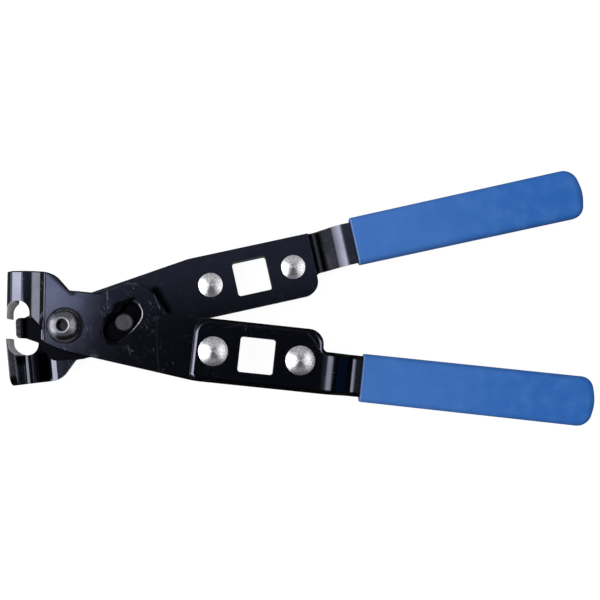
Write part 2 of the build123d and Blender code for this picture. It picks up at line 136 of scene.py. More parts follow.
class Look:
    """A node tree with short calls for adding and joining its nodes."""

    def __init__(self, tree):
        self.tree = tree

    def put(self, socket, value):
        """Sets a socket, or joins it to another node's output."""
        if isinstance(value, bpy.types.NodeSocket):
            self.tree.links.new(value, socket)
        else:
            socket.default_value = value

    def add(self, kind, inputs=None, **settings):
        """Adds a node, with its settings and its inputs by name or number."""
        node = self.tree.nodes.new(kind)
        for name, value in settings.items():
            setattr(node, name, value)
        for name, value in (inputs or {}).items():
            self.put(node.inputs[name], value)
        return node

    def maths(self, operation, *values):
        """Result of a sum on numbers."""
        node = self.add("ShaderNodeMath", dict(enumerate(values)), operation=operation)
        return node.outputs[0]

    def vector(self, operation, *values):
        """Result of a sum on vectors."""
        node = self.add("ShaderNodeVectorMath", dict(enumerate(values)), operation=operation)
        number = operation in ("LENGTH", "DISTANCE", "DOT_PRODUCT")
        return node.outputs["Value" if number else "Vector"]

    def spread(self, value, low, high, to_low=0.0, to_high=1.0):
        """Number that goes smoothly from one value to another between two limits."""
        inputs = {"Value": value, "From Min": low, "From Max": high, "To Min": to_low, "To Max": to_high}
        return self.add("ShaderNodeMapRange", inputs, interpolation_type="SMOOTHSTEP").outputs["Result"]

    def noise(self, position, size, detail=3.0, rough_share=0.5):
        """Noise with spots of about a given size."""
        inputs = {"Vector": position, "Scale": METRE / size, "Detail": detail, "Roughness": rough_share}
        return self.add("ShaderNodeTexNoise", inputs).outputs["Fac"]

    def mix(self, share, first, second):
        """Colour between two colours."""
        node = self.add("ShaderNodeMix", data_type="RGBA")
        self.put(node.inputs["Factor"], share)
        self.put(node.inputs["A"], first)
        self.put(node.inputs["B"], second)
        sockets = [s for s in node.outputs if s.type == "RGBA"]
        return sockets[0]

    def rest_position(self):
        """Position of the surface on the piece at rest."""
        return self.add("ShaderNodeTexCoord").outputs["Object"]

    def rest_normal(self):
        """Direction that the surface faces on the piece at rest."""
        return self.add("ShaderNodeTexCoord").outputs["Normal"]

    def to_world(self, direction):
        """Direction at rest, turned as the piece is turned."""
        return self.add("ShaderNodeVectorTransform", {"Vector": direction}, vector_type="VECTOR",
                        convert_from="OBJECT", convert_to="WORLD").outputs["Vector"]

    def flatness(self):
        """1 on faces that look up or down, 0 on walls."""
        height = self.maths("ABSOLUTE", self.parts(self.rest_normal())["Z"])
        return self.spread(height, *FLAT_RANGE)

    def edge_wear(self, reach):
        """1 on sharp edges, fading to 0 within a given reach."""
        true = self.add("ShaderNodeNewGeometry").outputs["Normal"]
        soft = self.add("ShaderNodeBevel", {"Radius": reach}, samples=EDGE_SAMPLES).outputs["Normal"]
        return self.spread(self.vector("DOT_PRODUCT", true, soft), *SHARP_RANGE)

    def line_distance(self, position, start, end):
        """Distance in the plane to the straight line between two places given in millimetres."""
        run = Vector((end[0] - start[0], end[1] - start[1], 0)) * MM
        offset = self.vector("SUBTRACT", position, (start[0] * MM, start[1] * MM, 0))
        offset = self.vector("MULTIPLY", offset, IN_PLANE)
        share = self.vector("DOT_PRODUCT", offset, tuple(run / run.length_squared))
        share = self.add("ShaderNodeClamp", {"Value": share}).outputs["Result"]
        nearest = self.add("ShaderNodeVectorMath", {0: tuple(run), "Scale": share}, operation="SCALE")
        return self.vector("DISTANCE", offset, nearest.outputs["Vector"])

    def strokes(self, position, marks):
        """Strongest of the straight marks at a place, each given as (start, end, half width, strength)."""
        total = 0.0
        for start, end, width, strength in marks:
            distance = self.line_distance(position, start, end)
            mark = self.spread(distance, width * MM, width * STROKE_CORE_SHARE * MM, 0.0, strength)
            total = self.maths("MAXIMUM", total, mark)
        return total

    def hairlines(self, position, angle, spacing, length):
        """Rare fine scratches that run at an angle to X, as a number from 0 to 1."""
        inputs = {"Vector": position, "Rotation": (0, 0, math.radians(angle))}
        turned = self.add("ShaderNodeMapping", inputs, vector_type="POINT").outputs["Vector"]
        squeezed = self.vector("MULTIPLY", turned, (spacing / length, 1, spacing / length))
        lines = self.spread(self.noise(squeezed, spacing, detail=2.0), *HAIRLINE_RANGE)
        patches = self.spread(self.noise(position, PATCH_SIZE, detail=1.0), *PATCH_RANGE)
        return self.maths("MULTIPLY", lines, patches)

    def placed(self, position, place):
        """Position seen from the frame that a matrix describes."""
        inverse = place.inverted()
        inputs = {"Vector": position, "Location": inverse.to_translation(), "Rotation": inverse.to_euler()}
        return self.add("ShaderNodeMapping", inputs, vector_type="POINT").outputs["Vector"]

    def parts(self, position):
        """X, Y and Z of a position."""
        return self.add("ShaderNodeSeparateXYZ", {"Vector": position}).outputs

    def bump(self, height, strength, distance, normal=None):
        """Normal of a surface with a given height pattern."""
        inputs = {"Height": height, "Strength": strength, "Distance": distance}
        if normal is not None:
            inputs["Normal"] = normal
        return self.add("ShaderNodeBump", inputs).outputs["Normal"]


class Material(Look):
    """A material built on Blender's main surface shader."""

    def __init__(self, name, **shader_inputs):
        self.material = bpy.data.materials.new(name)
        self.material.use_nodes = True
        super().__init__(self.material.node_tree)
        self.shader = self.tree.nodes["Principled BSDF"]
        for socket, value in shader_inputs.items():
            self.set(socket, value)

    def set(self, socket, value):
        """Sets or joins one input of the surface shader."""
        self.put(self.shader.inputs[socket], value)


def grey(value):
    """Opaque neutral colour."""
    return (value, value, value, 1.0)


# Blackened steel

BLACK_TINT = (0.140, 0.145, 0.185, 1.0)
BLACK_TINT_DEEP = (0.118, 0.122, 0.156, 1.0)
# Worn steel, and also the colour of the painted highlight strokes
WORN_AND_HIGHLIGHT_TINT = (0.30, 0.30, 0.33, 1.0)
NOTCH_TINT = (0.92, 0.92, 0.95, 1.0)
# Near black used for painted shade
SHADE_TINT = (0.006, 0.006, 0.008, 1.0)
BLACK_ROUGHNESS = 0.080
CLOUD_SIZE = 9 * MM
CLOUD_RANGE = (0.3, 0.7)
GRAIN_SIZE = 0.35 * MM
GRAIN_DULL = 0.05               # extra roughness at the height of the grain
GRAIN_BUMP = 0.35
GRAIN_DEPTH = 0.006 * MM
RIPPLE_SIZE = 7 * MM
RIPPLE_BUMP = 0.3
RIPPLE_DEPTH = 0.04 * MM
SPECK_SIZE = 0.5 * MM
SPECK_RANGE = (0.72, 0.80)
SPECK_WEAR = 0.35
LONG_HAIRLINES = (68, 0.16 * MM, 6 * MM)        # degrees from X, spacing and length
SHORT_HAIRLINES = (-12, 0.14 * MM, 5 * MM)
HAIRLINE_WEAR = 0.30
HAIRLINE_BUMP = 0.4
HAIRLINE_DEPTH = 0.01 * MM
EDGE_REACH = 0.22 * MM
EDGE_WEAR_LEAST = 0.15
EDGE_WEAR_VARIED = 0.55
RAGGED_SIZE = 0.9 * MM          # spots that break up worn edges, scratches and painted highlight strokes
RAGGED_RANGE = (0.40, 0.62)
MARK_LEAST = 0.5
MARK_VARIED = 0.5
WORN_DULL = 0.35

# Part of the normal that looks outward, or across the tool, over which a face takes its own look
OUTER_RANGE = (0.2, 0.6)
INNER_RANGE = (-0.2, -0.6)
RIM_RANGE = (0.995, 0.90)
SIDEWAYS_RANGE = (0.03, 0.16)

# Marks in their arm's or handle's frame, in millimetres: start, end, half width, strength
# Scratches on the front arm's outer face. The strokes round the slot's right rim and down the lobe's edges
# are painted highlights. The band along the lobe's top edge is partly wear and partly painted highlight.
FRONT_SCRATCHES_AND_HIGHLIGHTS = [
    ((33.6, 0.9), (33.6, -7.0), 0.30, 0.20),
    ((33.6, -7.0), (34.5, -17.5), 0.30, 0.22),
    ((23.5, -8.3), (23.9, -11.0), 0.35, 0.30),
    ((39.7, -14.3), (39.6, -13.6), 0.40, 0.40),
    ((37.3, -14.5), (37.1, -14.1), 0.35, 0.25),
    ((35.7, -16.8), (36.2, -16.2), 0.45, 0.30),
    ((30.6, 8.8), (31.3, 7.9), 0.45, 0.35),
    ((32.1, 12.6), (33.2, 9.6), 0.28, 0.35),
    ((33.2, 9.6), (34.7, 6.1), 0.32, 0.45),
    ((15.2, 12.6), (15.4, 9.8), 0.40, 0.42),
    ((15.4, 9.8), (15.6, 5.0), 0.28, 0.15),
    ((9.4, 0.0), (9.6, -5.4), 0.35, 0.15),
    ((15.6, 13.4), (21.0, 15.6), 0.75, 0.22),
    ((21.0, 15.6), (27.6, 16.0), 0.65, 0.26),
    ((27.6, 16.0), (31.0, 13.6), 0.45, 0.16),
    ((25.1, 9.4), (27.0, 8.0), 0.35, 0.45),
    ((27.0, 8.0), (28.1, 5.7), 0.40, 0.75),
    ((28.1, 5.7), (28.1, 3.1), 0.42, 0.85),
    ((28.1, 3.1), (27.0, 0.9), 0.42, 0.85),
    ((27.0, 0.9), (24.1, -2.1), 0.42, 0.85),
    ((24.1, -2.1), (20.9, -4.6), 0.40, 0.75),
]
# Painted shade: the front arm's shoulder edge, and round the slot's left rim
FRONT_SHADES = [
    ((-6.0, 20.5), (2.5, 12.5), 2.4, 0.85),
    ((24.7, 9.8), (19.3, 7.6), 1.3, 0.90),
    ((19.3, 7.6), (15.0, 1.3), 1.9, 0.90),
    ((15.0, 1.3), (13.9, -2.5), 1.5, 0.90),
    ((13.9, -2.5), (16.1, -6.3), 1.3, 0.90),
    ((16.1, -6.3), (19.1, -6.4), 1.0, 0.80),
]
# The rear arm painted darker near the pivot, and painted shadow beside the front arm's lobe
REAR_SHADES = [
    ((7.0, 0.0), (7.0, 24.0), 16.0, 0.62),
    ((33.6, -9.5), (36.7, -2.0), 3.0, 0.90),
]
# Scratches on the lower paddle. The two strokes round its top right corner are a painted highlight.
PADDLE_SCRATCHES_AND_HIGHLIGHTS = [
    ((58.2, 5.0), (62.2, 6.6), 0.24, 0.30),
    ((66.1, 6.7), (66.2, 5.2), 0.40, 0.42),
    ((76.0, 6.0), (76.6, 5.8), 0.40, 0.25),
    ((53.5, -9.5), (54.3, -9.9), 0.30, 0.25),
    ((89.2, 6.6), (91.6, 4.6), 0.40, 0.42),
    ((91.6, 4.6), (94.0, 1.2), 0.40, 0.42),
]

# Notch of the jaw in the arm's frame, in millimetres: line through its middle
NOTCH_LINE = ((-16.7, -4.0), (-16.7, 4.65))
NOTCH_RADIUS = 4.45 * MM        # half the notch's width
NOTCH_MARGIN = 0.25 * MM
NOTCH_DULL = 0.40
NOTCH_BARE = 0.95               # how much of the metal's mirror the sheared walls lose

# Stretches of an arm painted darker, along X and by level in its frame: painted shade on the inner slope
# of the jaw's arch, and a darker free edge of the flange
RAMP_START = -8.4 * MM          # inner slope of the jaw's arch, from here to its end
RAMP_START_EASE = 1.0 * MM
RAMP_END = -15.1 * MM
RAMP_END_EASE = 0.6 * MM
RAMP_SHADE = 0.97
FLANGE_EDGE = -4.9 * MM         # level of the flange's free edge
FLANGE_EASE = 0.05 * MM
FLANGE_DARKENING = 0.7
EDGE_SHADE = 0.97                # painted shade on rounded edges that look across the tool

# Stretches of a handle bar with painted shade, along X in its frame
ARM_END = 95.8 * MM
STRIP_END = 100.6 * MM          # end of the painted shade strip on the inner face of the bar's step
SLOPE_START = 100.4 * MM        # slope of the step on the outer face, which has painted shade
SLOPE_END = 108.4 * MM
SLOPE_END_EASE = 0.5 * MM
STEP_EASE = 1.0 * MM
STEP_SHADE = 0.97
STEP_DULL = 0.10                # extra roughness past the end of the arm
RIM_DULL = 0.14                 # extra roughness on the paddle's rounded rim


def finish_wear(look, position, hairlines, ragged):
    """Share of the finish that is worn away: specks, hairlines and ragged edges."""
    specks = look.spread(look.noise(position, SPECK_SIZE, detail=1.0), *SPECK_RANGE)
    broken = look.maths("MULTIPLY_ADD", ragged, EDGE_WEAR_VARIED, EDGE_WEAR_LEAST)
    edges = look.maths("MULTIPLY", look.edge_wear(EDGE_REACH), broken)
    fine = look.maths("MAXIMUM", look.maths("MULTIPLY", specks, SPECK_WEAR),
                      look.maths("MULTIPLY", hairlines, HAIRLINE_WEAR))
    return look.maths("MAXIMUM", fine, edges)


def arm_darkening(look, in_place, inner):
    """Darkening on a jaw: painted shade on the inner slope of its arch, and a darker free edge of the
    flange.
    """
    axes = look.parts(in_place)
    start = look.spread(axes["X"], RAMP_START, RAMP_START - RAMP_START_EASE, 0.0, RAMP_SHADE)
    end = look.spread(axes["X"], RAMP_END - RAMP_END_EASE, RAMP_END)
    ramp = look.maths("MULTIPLY", look.maths("MULTIPLY", start, end), inner)
    free_edge = look.spread(axes["Z"], FLANGE_EDGE, FLANGE_EDGE - FLANGE_EASE, 0.0, FLANGE_DARKENING)
    return look.maths("MAXIMUM", ramp, free_edge)


def bar_shade(look, along, inner, past_arm):
    """Painted shade on a bar's step: a strip of its inner face, and the slope of its outer face."""
    strip = look.spread(along, STRIP_END, STRIP_END - STEP_EASE, 0.0, STEP_SHADE)
    strip = look.maths("MULTIPLY", look.maths("MULTIPLY", strip, past_arm), inner)
    start = look.spread(along, SLOPE_START, SLOPE_START + STEP_EASE, 0.0, STEP_SHADE)
    end = look.spread(along, SLOPE_END, SLOPE_END - SLOPE_END_EASE)
    slope = look.maths("MULTIPLY", look.maths("MULTIPLY", start, end), look.maths("SUBTRACT", 1.0, inner))
    return look.maths("MAXIMUM", strip, slope)


def notch_cut(look, in_place):
    """1 on the sheared walls of a jaw's notch."""
    distance = look.line_distance(in_place, *NOTCH_LINE)
    near = look.spread(distance, NOTCH_RADIUS + 2 * NOTCH_MARGIN, NOTCH_RADIUS + NOTCH_MARGIN)
    return look.maths("MULTIPLY", near, look.maths("SUBTRACT", 1.0, look.flatness()))


def blackened_steel(name, place, scratches=(), shades=(), bar=False):
    """Glossy black finish over steel with a soft blue tone, specks, fine scratch marks and worn edges,
    painted highlights along some edges, painted shade along listed strokes, on edges that look across the
    tool, in a jaw's arch and on a bar's step, and a darker free edge on a jaw's flange.
    """
    look = Material(name, Metallic=1.0)
    position = look.rest_position()
    in_place = look.placed(position, place)
    outward = place.to_3x3() @ Vector((0, 0, 1))
    facing = look.vector("DOT_PRODUCT", look.rest_normal(), tuple(outward))
    inner = look.spread(facing, *INNER_RANGE)
    grain = look.noise(position, GRAIN_SIZE, detail=2.0)
    ragged = look.spread(look.noise(position, RAGGED_SIZE), *RAGGED_RANGE)
    hairlines = look.maths("MAXIMUM", look.hairlines(position, *LONG_HAIRLINES),
                           look.hairlines(position, *SHORT_HAIRLINES))
    # Scratch marks and the painted highlight strokes from the same lists, broken up and kept to outer
    # faces
    broken = look.maths("MULTIPLY_ADD", ragged, MARK_VARIED, MARK_LEAST)
    scratched_and_highlit = look.maths("MULTIPLY", look.strokes(in_place, scratches), broken)
    scratched_and_highlit = look.maths("MULTIPLY", scratched_and_highlit, look.spread(facing, *OUTER_RANGE))
    # Worn finish, together with the painted highlight strokes
    worn = look.maths("MAXIMUM", finish_wear(look, position, hairlines, ragged), scratched_and_highlit)
    # Painted shade along the listed strokes and on rounded edges that look across the tool
    sideways = look.maths("ABSOLUTE", look.parts(look.rest_normal())["Y"])
    painted_shade = look.maths("MAXIMUM", look.strokes(in_place, shades),
                      look.spread(sideways, *SIDEWAYS_RANGE, 0.0, EDGE_SHADE))
    if bar:
        along = look.parts(in_place)["X"]
        past_arm = look.maths("GREATER_THAN", along, ARM_END)
        stretch = bar_shade(look, along, inner, past_arm)
    else:
        stretch = arm_darkening(look, in_place, inner)
    painted_shade = look.maths("MAXIMUM", painted_shade, stretch)
    cloud = look.spread(look.noise(position, CLOUD_SIZE), *CLOUD_RANGE)
    tint = look.mix(cloud, BLACK_TINT_DEEP, BLACK_TINT)
    # Painted shade, then wear and painted highlights, over the steel's tone
    tint = look.mix(painted_shade, tint, SHADE_TINT)
    tint = look.mix(worn, tint, WORN_AND_HIGHLIGHT_TINT)
    rough = look.maths("MULTIPLY_ADD", grain, GRAIN_DULL, BLACK_ROUGHNESS)
    rough = look.maths("MULTIPLY_ADD", worn, WORN_DULL, rough)
    if bar:
        on_paddle = look.maths("SUBTRACT", 1.0, past_arm)
        rim = look.maths("MULTIPLY", look.spread(facing, *RIM_RANGE), on_paddle)
        rough = look.maths("MULTIPLY_ADD", past_arm, STEP_DULL, rough)
        rough = look.maths("MULTIPLY_ADD", rim, RIM_DULL, rough)
    else:
        cut = notch_cut(look, in_place)
        tint = look.mix(cut, tint, NOTCH_TINT)
        rough = look.maths("MULTIPLY_ADD", cut, NOTCH_DULL, rough)
        look.set("Metallic", look.maths("MULTIPLY_ADD", cut, -NOTCH_BARE, 1.0))
    look.set("Base Color", tint)
    look.set("Roughness", rough)
    normal = look.bump(look.noise(position, RIPPLE_SIZE, detail=1.0), RIPPLE_BUMP, RIPPLE_DEPTH)
    normal = look.bump(grain, GRAIN_BUMP, GRAIN_DEPTH, normal)
    unscratched = look.maths("SUBTRACT", 1.0, hairlines)
    look.set("Normal", look.bump(unscratched, HAIRLINE_BUMP, HAIRLINE_DEPTH, normal))
    return look


# Bright and bare steel

BRIGHT_TINT = (0.92, 0.91, 0.92, 1.0)
BRIGHT_TINT_DARK = (0.44, 0.43, 0.44, 1.0)
SCREW_TINT = (0.21, 0.21, 0.235, 1.0)
SCREW_TINT_DARK = (0.105, 0.105, 0.13, 1.0)
PIN_TINT = (0.085, 0.087, 0.098, 1.0)
PIN_TINT_DARK = (0.045, 0.046, 0.052, 1.0)
RING_HIGHLIGHT_TINT = (0.50, 0.50, 0.54, 1.0)
RING_INNER = 2.25 * MM          # painted highlight on the ring round the screw's socket
RING_OUTER = 2.72 * MM
RING_EASE = 0.1 * MM
RING_DULL = 0.2
# how dark the painted shade inside the screw's socket is
SOCKET_SHADE = 0.8
DOME_EASE = 0.25                # how far the screw's dome looks flatter than its solid
MOTTLE_SIZE = 0.5 * MM
MOTTLE_ROUGH_SHARE = 0.65
MOTTLE_RANGE = (0.36, 0.64)
MOTTLE_BUMP = 0.3
STEEL_DEPTH = 0.02 * MM         # depth of the grain that bumps follow
RIVET_FINISH = (0.30, 0.7)      # roughness, and how far grooves stretch a reflection
SCREW_FINISH = (0.22, 0.0)
NUT_FINISH = (0.27, 0.3)
PIN_FINISH = (0.42, 0.3)


def turned_steel(name, centre_of, tints, finish, socket=False):
    """Steel turned about an upright axis, whose fine grooves pull reflections into sectors; with a socket,
    painted shade inside it and a painted highlight on the ring round it.
    """
    roughness, stretch = finish
    look = Material(name, Metallic=1.0, Roughness=roughness, Anisotropic=stretch)
    position = look.rest_position()
    low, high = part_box(centre_of)
    centre = (low + high) / 2
    arm = look.vector("SUBTRACT", position, (centre.x, centre.y, 0))
    arm = look.vector("MULTIPLY", arm, IN_PLANE)
    look.set("Tangent", look.vector("NORMALIZE", look.to_world(arm)))
    mottle = look.noise(position, MOTTLE_SIZE, detail=4.0, rough_share=MOTTLE_ROUGH_SHARE)
    tint = look.mix(look.spread(mottle, *MOTTLE_RANGE), *tints)
    normal = None
    # With a socket: painted shade inside it, and a painted highlight on the ring round it
    if socket:
        radius = look.vector("LENGTH", arm)
        inside = look.spread(radius, RING_INNER, RING_INNER - RING_EASE)
        ring = look.maths("MULTIPLY", look.spread(radius, RING_OUTER + RING_EASE, RING_OUTER),
                          look.maths("SUBTRACT", 1.0, inside))
        tint = look.mix(look.maths("MULTIPLY", inside, SOCKET_SHADE), tint, SHADE_TINT)
        tint = look.mix(ring, tint, RING_HIGHLIGHT_TINT)
        look.set("Roughness", look.maths("MULTIPLY_ADD", ring, RING_DULL, roughness))
        eased = look.vector("ADD", look.rest_normal(), (0, 0, DOME_EASE))
        normal = look.to_world(look.vector("NORMALIZE", eased))
    look.set("Base Color", tint)
    look.set("Normal", look.bump(mottle, MOTTLE_BUMP, STEEL_DEPTH, normal))
    return look


GROUND_TINTS = (grey(0.28), grey(0.42))
GROUND_SIZE = 0.5 * MM
GROUND_ROUGHNESS = 0.3
GROUND_VARIED = 0.15
GROUND_BUMP = 0.2


def bare_steel(name):
    """Plain ground steel."""
    look = Material(name, Metallic=1.0)
    fine = look.noise(look.rest_position(), GROUND_SIZE, detail=4.0)
    look.set("Base Color", look.mix(fine, *GROUND_TINTS))
    look.set("Roughness", look.maths("MULTIPLY_ADD", fine, GROUND_VARIED, GROUND_ROUGHNESS))
    look.set("Normal", look.bump(fine, GROUND_BUMP, STEEL_DEPTH))
    return look


# Near black, which also stands in for the shade inside the arms' slots
PRESSER_TINT = (0.004, 0.004, 0.006, 1.0)
PRESSER_LIP_TINT = (0.055, 0.055, 0.062, 1.0)
PRESSER_LIP = 1.6 * MM          # width of the brushed strip along the presser's working edge
PRESSER_LIP_EASE = 0.4 * MM
PRESSER_ROUGHNESS = 0.24
PRESSER_VARIED = 0.12
PRESSER_SIZE = 0.5 * MM
PRESSER_BUMP = 0.2
PRESSER_DEPTH = 0.01 * MM
BRUSHED_SIZE = 0.30 * MM
BRUSHED_RANGE = (0.35, 0.65)
BRUSHED_STRETCH = (0.06, 1, 1)  # draws the brushing out along X


def presser_steel(name):
    """Near black hardened steel whose working edge is brushed lighter; the near black also stands in for
    the shade inside the arms' slots.
    """
    look = Material(name, Metallic=1.0)
    position = look.rest_position()
    lip_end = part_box("ear_presser")[0].x + PRESSER_LIP
    lip = look.spread(look.parts(position)["X"], lip_end + PRESSER_LIP_EASE, lip_end)
    brushed = look.noise(look.vector("MULTIPLY", position, BRUSHED_STRETCH), BRUSHED_SIZE)
    fine = look.noise(position, PRESSER_SIZE)
    lip_tint = look.mix(look.spread(brushed, *BRUSHED_RANGE), PRESSER_TINT, PRESSER_LIP_TINT)
    look.set("Base Color", look.mix(lip, PRESSER_TINT, lip_tint))
    look.set("Roughness", look.maths("MULTIPLY_ADD", fine, PRESSER_VARIED, PRESSER_ROUGHNESS))
    look.set("Normal", look.bump(fine, PRESSER_BUMP, PRESSER_DEPTH))
    return look


# Soft vinyl

VINYL_TINT = (0.052, 0.184, 0.560, 1.0)
VINYL_TINT_FAR = (0.022, 0.146, 0.510, 1.0)
VINYL_TINT_PALE = (0.072, 0.220, 0.620, 1.0)
VINYL_TINT_LIP_HIGHLIGHT = (0.17, 0.30, 0.60, 1.0)
VINYL_TINT_SPECK = (0.20, 0.34, 0.62, 1.0)
# Colour of the soil specks, and of the painted shadow line beside the lip
VINYL_TINT_SOIL_AND_SHADOW = (0.012, 0.055, 0.21, 1.0)
VINYL_ROUGHNESS = 0.68
VINYL_GLOSS = 0.22
VINYL_SHEEN = 0.03
VINYL_SHEEN_ROUGHNESS = 0.5
VINYL_CLOUD_SIZE = 6 * MM
VINYL_CLOUD_RANGE = (0.35, 0.75)
VINYL_CLOUD_SHARE = 0.45
VINYL_WAVE_BUMP = 0.4
VINYL_WAVE_DEPTH = 0.10 * MM
VINYL_SKIN_SIZE = 0.35 * MM
VINYL_SKIN_BUMP = 0.25
VINYL_SKIN_DEPTH = 0.04 * MM
PALE_SPECK_SIZE = 0.55 * MM
PALE_SPECK_RANGE = (0.74, 0.79)
SOIL_SPECK_SIZE = 0.6 * MM
SOIL_SPECK_RANGE = (0.75, 0.80)
SOIL_SHIFT = (1, 0, 0)          # draws the soil from another part of the noise than the pale specks
SPECK_SHARE = 0.6
# Painted highlight on the lip of the grip's mouth, and a painted shadow line beside it
LIP_WIDTH = 0.35 * MM
LIP_HIGHLIGHT_SHARE = 0.8
LIP_LINE = 0.25 * MM            # width of the painted shadow line beside the lip
LIP_LINE_SHARE = 0.45


def soft_vinyl(name, node, handle):
    """Matte blue vinyl with a fine skin, faint clouds, specks, a painted highlight on its lip with a
    painted shadow line beside it, and a deeper far end.
    """
    look = Material(name, Roughness=VINYL_ROUGHNESS)
    look.set("Specular IOR Level", VINYL_GLOSS)
    look.set("Sheen Weight", VINYL_SHEEN)
    look.set("Sheen Roughness", VINYL_SHEEN_ROUGHNESS)
    position = look.rest_position()
    low, high = node_box(node, handle)
    along = look.parts(look.placed(position, handle))["X"]
    cloud = look.noise(position, VINYL_CLOUD_SIZE, detail=4.0)
    tint = look.mix(look.spread(along, low.x, high.x), VINYL_TINT, VINYL_TINT_FAR)
    clouded = look.maths("MULTIPLY", look.spread(cloud, *VINYL_CLOUD_RANGE), VINYL_CLOUD_SHARE)
    tint = look.mix(clouded, tint, VINYL_TINT_PALE)
    pale = look.spread(look.noise(position, PALE_SPECK_SIZE, detail=1.0), *PALE_SPECK_RANGE)
    tint = look.mix(look.maths("MULTIPLY", pale, SPECK_SHARE), tint, VINYL_TINT_SPECK)
    shifted = look.vector("ADD", position, SOIL_SHIFT)
    soil = look.spread(look.noise(shifted, SOIL_SPECK_SIZE, detail=1.0), *SOIL_SPECK_RANGE)
    tint = look.mix(look.maths("MULTIPLY", soil, SPECK_SHARE), tint, VINYL_TINT_SOIL_AND_SHADOW)
    # Painted shadow line beside the lip
    line = look.spread(along, low.x + LIP_WIDTH + 2 * LIP_LINE, low.x + LIP_WIDTH + LIP_LINE)
    tint = look.mix(look.maths("MULTIPLY", line, LIP_LINE_SHARE), tint, VINYL_TINT_SOIL_AND_SHADOW)
    # Painted highlight on the lip
    lip = look.spread(along, low.x + LIP_WIDTH + LIP_LINE, low.x + LIP_WIDTH)
    tint = look.mix(look.maths("MULTIPLY", lip, LIP_HIGHLIGHT_SHARE), tint, VINYL_TINT_LIP_HIGHLIGHT)
    look.set("Base Color", tint)
    wave = look.bump(cloud, VINYL_WAVE_BUMP, VINYL_WAVE_DEPTH)
    surface = look.noise(position, VINYL_SKIN_SIZE)
    look.set("Normal", look.bump(surface, VINYL_SKIN_BUMP, VINYL_SKIN_DEPTH, wave))
    return look


# Grips, modelled in their handle's frame

GRIP_ROUND = 2.4 * MM           # rounding along the edges
GRIP_WALL = 1.25 * MM           # wall beside the bar
GRIP_POCKET = 1.55 * MM         # half the height of the pocket that holds the bar
GRIP_LIP = 0.35 * MM            # rounding of the mouth's edge
GRIP_OUTER_TAPER = 0.62 * MM    # how far each side draws in towards the mouth
GRIP_INNER_TAPER = 0.68 * MM
GRIP_INNER_TRIM = 0.40 * MM     # how far the inner side draws in at the far end
GRIP_CROWN = 2.2 * MM           # how far the middle of the far end stands past its corners
GRIP_CROWN_RADIUS = 16 * MM
GRIP_INNER_RADIUS = 5 * MM
GRIP_OUTER_RADIUS = 6 * MM
GRIP_CROWN_RISE = 0.12 * MM     # how far each broad face swells past flat
SIDE_STEPS = 40
CORNER_STEPS = 10
RIM_STEPS = 7
LIP_STEPS = 4
ACROSS_STEPS = 12
LONG_SIDE_RADII = 4             # a side longer than this many corner radii gets all its steps
WELD_REACH = 0.001 * MM


def rounded_path(corners, side_steps, corner_steps):
    """Points and outward directions along an open path that turns left at rounded corners."""
    ends = []
    for index in range(1, len(corners) - 1):
        x, y, radius = corners[index]
        point = Vector((x, y))
        before = (point - Vector(corners[index - 1][:2])).normalized()
        after = (Vector(corners[index + 1][:2]) - point).normalized()
        turn = math.atan2(before.cross(after), before.dot(after))
        ends.append((point, before, turn, radius))
    path = []
    start = Vector(corners[0][:2])
    for point, before, turn, radius in ends:
        outward = Vector((before.y, -before.x))
        tangent = point - before * radius * math.tan(turn / 2)
        steps = side_steps if (tangent - start).length > LONG_SIDE_RADII * radius else 1
        for step in range(steps):
            path.append((start.lerp(tangent, step / steps), outward))
        centre = tangent - outward * radius
        for step in range(corner_steps):
            direction = Matrix.Rotation(turn * step / corner_steps, 2) @ outward
            path.append((centre + direction * radius, direction))
        direction = Matrix.Rotation(turn, 2) @ outward
        start = centre + direction * radius
    finish = Vector(corners[-1][:2])
    along = (finish - start).normalized()
    outward = Vector((along.y, -along.x))
    for step in range(side_steps + 1):
        path.append((start.lerp(finish, step / side_steps), outward))
    return path


def grip_path(node, handle):
    """Outline of a grip from its mouth round its far end, with its middle level and half thickness."""
    low, high = node_box(node, handle)
    tip = high.x
    middle = (low.y + high.y) / 2
    corners = [
        (low.x, low.y + GRIP_OUTER_TAPER, 0),
        (tip - GRIP_CROWN, low.y, GRIP_OUTER_RADIUS),
        (tip, middle, GRIP_CROWN_RADIUS),
        (tip - GRIP_CROWN, high.y - GRIP_INNER_TRIM, GRIP_INNER_RADIUS),
        (low.x, high.y - GRIP_INNER_TAPER, 0),
    ]
    return rounded_path(corners, SIDE_STEPS, CORNER_STEPS), (low.z + high.z) / 2, (high.z - low.z) / 2


def rim_side(place, half, inset):
    """Points up one side of the grip, round its lower and then its upper edge, drawn in by an inset."""
    point, outward = place
    radius = GRIP_ROUND - inset
    quarter = [math.pi / 2 * step / RIM_STEPS for step in range(RIM_STEPS + 1)]
    edges = [(-1, -angle) for angle in reversed(quarter)] + [(1, angle) for angle in quarter]
    side = []
    for face, angle in edges:
        spot = point - outward * (GRIP_ROUND - radius * math.cos(angle))
        height = face * (half - GRIP_ROUND) + radius * math.sin(angle)
        side.append(Vector((spot.x, spot.y, height)))
    return side


def pocket_side(place):
    """Points up one side of the pocket that holds the bar."""
    point, outward = place
    spot = point - outward * GRIP_WALL
    last = 2 * RIM_STEPS + 1
    heights = [GRIP_POCKET * (2 * index / last - 1) for index in range(last + 1)]
    return [Vector((spot.x, spot.y, height)) for height in heights]


def close_section(right, left, rise):
    """Ring through two sides, each from its lower to its upper edge, and across both broad faces."""
    over = []
    under = []
    for step in range(1, ACROSS_STEPS):
        share = step / ACROSS_STEPS
        swell = Vector((0, 0, rise * 4 * share * (1 - share)))
        over.append(right[-1].lerp(left[-1], share) + swell)
        under.append(left[0].lerp(right[0], share) - swell)
    return right + over + left[::-1] + under


